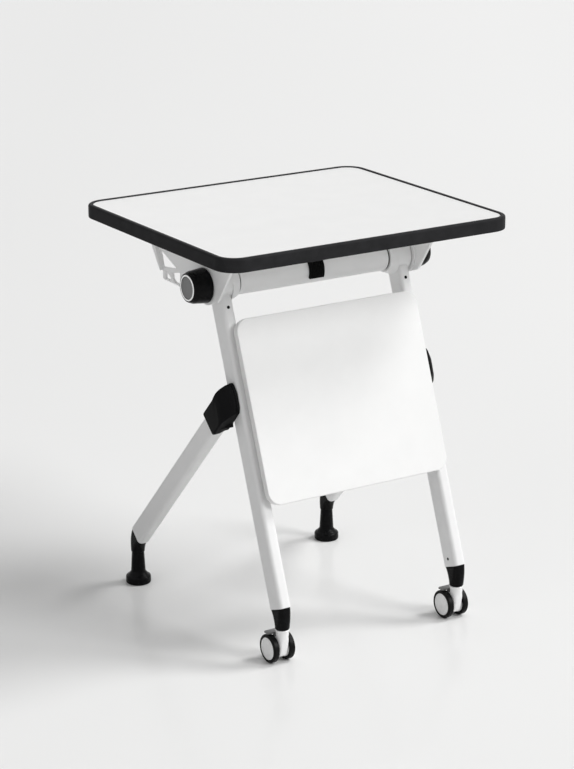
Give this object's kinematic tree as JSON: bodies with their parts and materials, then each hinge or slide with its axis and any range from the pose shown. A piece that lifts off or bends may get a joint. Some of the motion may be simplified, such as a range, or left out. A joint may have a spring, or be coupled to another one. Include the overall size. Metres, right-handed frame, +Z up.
{
  "type": "flip top training table",
  "caption": "Small training table with a tilting white top, black edge, modesty panel, leaning legs, braked twin-wheel casters in front and levelling glides behind.",
  "frame": {"origin": "on the floor, below the middle of the table's outer box", "axes": "+Z up, +X along the top's width, -Y towards the modesty panel and the casters"},
  "size_m": [0.6, 0.5272, 0.75],
  "materials": {
    "laminate_white": "matte white laminate on board",
    "edge_black": "soft satin black moulded edge",
    "white_paint": "fine satin powder coat",
    "white_nylon": "semi-gloss moulded nylon",
    "black_plastic": "fine moulded texture",
    "tyre_black": "smooth soft tread",
    "bumper_rubber": "matte",
    "grey_plastic": "satin moulded",
    "dark_plastic": "satin moulded",
    "steel": "zinc plated",
    "bright_ring": "bright plated"
  },
  "bodies": {
    "frame": {"beam_tube": "white_paint", "beam_bumper": "bumper_rubber", "modesty_panel": "laminate_white", "beam_ring_left": "dark_plastic", "beam_ring_right": "dark_plastic", "leg_head_left": "white_paint", "leg_head_right": "white_paint", "front_leg_left": "white_paint", "front_leg_right": "white_paint", "rear_leg_left": "white_paint", "rear_leg_right": "white_paint", "joint_cover_left": "black_plastic", "joint_cover_right": "black_plastic", "joint_bolt_left": "steel", "joint_bolt_right": "steel", "panel_rail_left": "white_paint", "panel_rail_right": "white_paint", "caster_socket_left": "black_plastic", "caster_socket_right": "black_plastic", "glide_socket_left": "black_plastic", "glide_socket_right": "black_plastic", "pivot_shaft_left": "steel", "pivot_shaft_right": "steel", "pivot_knob_left": "black_plastic", "pivot_knob_right": "black_plastic", "knob_ring_left": "bright_ring", "knob_ring_right": "bright_ring", "button_spring_left": "steel", "button_spring_right": "steel"},
    "top": {"top_board": "laminate_white", "edge_band": "edge_black", "flip_bracket_left": "white_paint", "flip_bracket_right": "white_paint", "pivot_bush_left": "dark_plastic", "pivot_bush_right": "dark_plastic"},
    "button_left": {"release_button_left": "grey_plastic", "lock_yoke_left": "steel"},
    "button_right": {"release_button_right": "grey_plastic", "lock_yoke_right": "steel"},
    "caster_left": {"caster_body_left": "white_nylon", "caster_stem_left": "steel", "caster_axle_left": "steel"},
    "caster_right": {"caster_body_right": "white_nylon", "caster_stem_right": "steel", "caster_axle_right": "steel"},
    "wheel_left_inner": {"caster_tyre_left_inner": "tyre_black", "caster_hub_left_inner": "white_nylon"},
    "wheel_left_outer": {"caster_tyre_left_outer": "tyre_black", "caster_hub_left_outer": "white_nylon"},
    "wheel_right_inner": {"caster_tyre_right_inner": "tyre_black", "caster_hub_right_inner": "white_nylon"},
    "wheel_right_outer": {"caster_tyre_right_outer": "tyre_black", "caster_hub_right_outer": "white_nylon"},
    "brake_left": {"brake_lever_left": "grey_plastic"},
    "brake_right": {"brake_lever_right": "grey_plastic"},
    "glide_left": {"glide_foot_left": "black_plastic", "glide_stud_left": "steel"},
    "glide_right": {"glide_foot_right": "black_plastic", "glide_stud_right": "steel"}
  },
  "joints": [
    {"name": "top_flip", "type": "hinge", "parent": "frame", "child": "top", "pos_m": [0, -0.03888, 0.649], "axis": [1, 0, 0], "range_deg": [0, 70]},
    {"name": "button_left_press", "type": "slide", "parent": "frame", "child": "button_left", "axis": [1, 0, 0], "range_m": [0, 0.005], "stiffness_N_per_m": 400, "deforming": ["button_spring_left"]},
    {"name": "button_right_press", "type": "slide", "parent": "frame", "child": "button_right", "axis": [-1, 0, 0], "range_m": [0, 0.005], "stiffness_N_per_m": 400, "deforming": ["button_spring_right"]},
    {"name": "caster_left_swivel", "type": "hinge", "parent": "frame", "child": "caster_left", "pos_m": [-0.19, -0.24867, 0.06], "axis": [0, 0, 1], "continuous": true},
    {"name": "caster_right_swivel", "type": "hinge", "parent": "frame", "child": "caster_right", "pos_m": [0.19, -0.24867, 0.06], "axis": [0, 0, 1], "continuous": true},
    {"name": "wheel_left_inner_spin", "type": "hinge", "parent": "caster_left", "child": "wheel_left_inner", "pos_m": [-0.17375, -0.23267, 0.0263], "axis": [1, 0, 0], "continuous": true},
    {"name": "wheel_left_outer_spin", "type": "hinge", "parent": "caster_left", "child": "wheel_left_outer", "pos_m": [-0.20625, -0.23267, 0.0263], "axis": [1, 0, 0], "continuous": true},
    {"name": "wheel_right_inner_spin", "type": "hinge", "parent": "caster_right", "child": "wheel_right_inner", "pos_m": [0.17375, -0.23267, 0.0263], "axis": [1, 0, 0], "continuous": true},
    {"name": "wheel_right_outer_spin", "type": "hinge", "parent": "caster_right", "child": "wheel_right_outer", "pos_m": [0.20625, -0.23267, 0.0263], "axis": [1, 0, 0], "continuous": true},
    {"name": "brake_left_press", "type": "hinge", "parent": "caster_left", "child": "brake_left", "pos_m": [-0.19, -0.23367, 0.0481], "axis": [-1, 0, 0], "range_deg": [0, 16]},
    {"name": "brake_right_press", "type": "hinge", "parent": "caster_right", "child": "brake_right", "pos_m": [0.19, -0.23367, 0.0481], "axis": [-1, 0, 0], "range_deg": [0, 16]},
    {"name": "glide_left_level", "type": "slide", "parent": "frame", "child": "glide_left", "axis": [0, 0, -1], "range_m": [0, 0.012]},
    {"name": "glide_right_level", "type": "slide", "parent": "frame", "child": "glide_right", "axis": [0, 0, -1], "range_m": [0, 0.012]}
  ]
}
